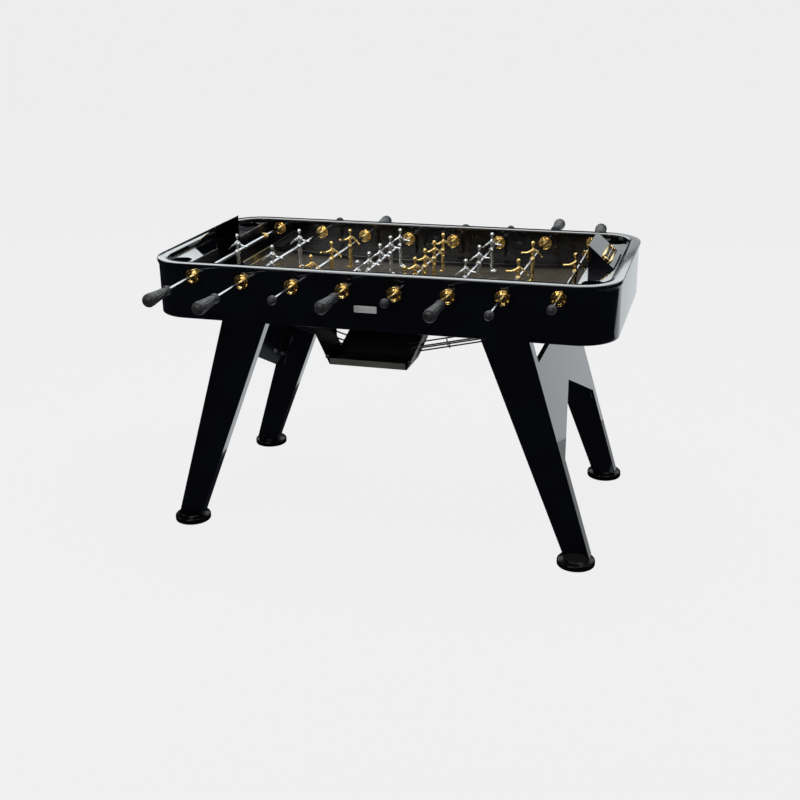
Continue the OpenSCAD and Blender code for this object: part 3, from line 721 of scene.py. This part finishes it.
def name_plate():
    """A blank plate with a dark groove near its edge."""
    lo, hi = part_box("name_plate")
    back, front = hi[1], lo[1]
    groove = front + 0.0004
    cx, cz = (lo[0] + hi[0]) / 2, (lo[2] + hi[2]) / 2
    half_l, half_h = (hi[0] - lo[0]) / 2, (hi[2] - lo[2]) / 2
    corner_r = 0.003
    steps = ((0.0, back), (0.0, front + 0.0005), (0.0005, front), (0.0020, front), (0.0023, groove),
             (0.0030, groove), (0.0033, front))
    rows = []
    for inset, y in steps:
        path = rounded_path(half_l - inset, half_h - inset, corner_r - inset * 0.6, 6)
        rows.append([(cx + p[0], y, cz + p[1]) for p, n in path])
    bm = bmesh.new()
    made = add_grid(bm, rows, True, False)
    bm.faces.new(list(reversed(made[-1])))
    bm.faces.new(made[0])
    for f in bm.faces:
        if abs(f.calc_center_median().y - groove) < 0.00005:
            f.material_index = 1
    finish_mesh(bm, "maker_plate", [BADGE, COAT_INNER], TABLE, ["name_plate"])


def carried_over():
    """CAD nodes that keep their own mesh take the finish of their record slot."""
    slots = {p["node"]: p["material_slot"] for p in frame["record"]["subparts"]}
    for node, obj in NODES.items():
        if obj.hide_render:
            continue
        obj.data.materials.clear()
        obj.data.materials.append(SLOTS[slots[node]])


# ---- studio ----

COOL = (0.93, 0.98, 1.0)
WHITE = (1, 1, 1)


def area(name, at, towards, size, radiance, colour):
    light = bpy.data.lights.new(name, "AREA")
    light.shape = "RECTANGLE"
    light.size, light.size_y = size
    light.energy = radiance * math.pi * size[0] * size[1]
    light.color = colour
    obj = bpy.data.objects.new(name, light)
    obj.location = at
    obj.rotation_euler = (Vector(towards) - Vector(at)).to_track_quat("-Z", "Y").to_euler()
    obj.visible_camera = False
    bpy.context.scene.collection.objects.link(obj)
    return obj


def floor_glow(name, low, high, radiance):
    """A lit stretch of floor from low to high, for reflections only: the black sides mirror it."""
    size = (high[0] - low[0], high[1] - low[1])
    x, y = (low[0] + high[0]) / 2, (low[1] + high[1]) / 2
    # Aimed a hair off upright, which settles that its second size lies along Y
    obj = area(name, (x, y, 0.02), (x, y + 0.01, 4.0), size, radiance, COOL)
    obj.visible_diffuse = False


def floor():
    bm = bmesh.new()
    bmesh.ops.create_grid(bm, x_segments=2, y_segments=2, size=120.0)
    plane = from_bmesh(bm, "studio_floor")
    m = bpy.data.materials.new("studio_floor")
    m.use_nodes = True
    bsdf = m.node_tree.nodes["Principled BSDF"]
    bsdf.inputs["Base Color"].default_value = (0.03, 0.03, 0.03, 1)
    bsdf.inputs["Roughness"].default_value = 1.0
    bsdf.inputs["Specular IOR Level"].default_value = 0.0
    bsdf.inputs["Emission Color"].default_value = (1, 1, 1, 1)
    bsdf.inputs["Emission Strength"].default_value = 0.845
    plane.data.materials.append(m)
    plane.visible_glossy = False


def lights():
    world = bpy.data.worlds.new("studio")
    bpy.context.scene.world = world
    world.use_nodes = True
    world.node_tree.nodes["Background"].inputs["Color"].default_value = (0.012, 0.013, 0.017, 1)
    world.node_tree.nodes["Background"].inputs["Strength"].default_value = 1.0
    area("back_panel", (-1.5, 5.0, 3.7), (-1.5, 0, 3.7), (9.0, 3.0), 2.0, COOL)
    area("low_back_panel", (1.65, 5.0, 1.68), (1.65, 0, 1.68), (3.0, 0.84), 0.75, COOL)
    floor_glow("floor_glow", (-1.4, 1.1), (2.8, 6.1), 0.75)
    floor_glow("left_floor_glow", (-0.53, -0.365), (0.42, 1.115), 0.9)
    floor_glow("right_floor_glow", (0.7, -0.365), (2.3, 1.115), 0.36)
    area("right_panel", (5.0, 0.6, 2.4), (0.6, 0, 0.8), (4.0, 3.0), 1.1, COOL)
    area("left_panel", (-4.5, -0.5, 2.8), (0, 0, 0.9), (2.4, 2.6), 1.3, WHITE)
    area("top_panel", (0.3, 0.1, 4.2), (0.3, 0.1, 0), (4.4, 3.0), 2.9, WHITE)
    area("front_high", (-0.4, -5.6, 3.3), (0, 0, 0.9), (5.0, 1.6), 2.8, WHITE)
    area("key", (-1.6, -4.2, 3.4), (0, 0, 0.85), (0.9, 0.9), 16.0, WHITE)


def camera():
    """Looks at the target from its azimuth (from the front, towards +X), elevation and distance."""
    azimuth, elevation, roll = (math.radians(a) for a in (16.493, 20.285, -0.861))
    target, distance = Vector((-0.01668, 0, 0.3726)), 4.2318
    data = bpy.data.cameras.new("camera")
    data.sensor_fit = "HORIZONTAL"
    data.sensor_width = 36.0
    data.lens = 53.2517
    data.clip_end = 400
    level = math.cos(elevation)
    back = Vector((math.sin(azimuth) * level, -math.cos(azimuth) * level, math.sin(elevation)))
    right = Vector((math.cos(azimuth), math.sin(azimuth), 0))
    up = back.cross(right)
    c, s = math.cos(roll), math.sin(roll)
    right, up = c * right + s * up, -s * right + c * up
    obj = bpy.data.objects.new("camera", data)
    turn = Matrix((right, up, back)).transposed().to_4x4()
    obj.matrix_world = Matrix.Translation(target + back * distance) @ turn
    bpy.context.scene.collection.objects.link(obj)
    bpy.context.scene.camera = obj


bpy.context.scene.view_settings.view_transform = "Standard"
camera()
cabinet()
bearings()
grips()
players()
score_counters()
stand()
ball_tray()
name_plate()
carried_over()
floor()
lights()
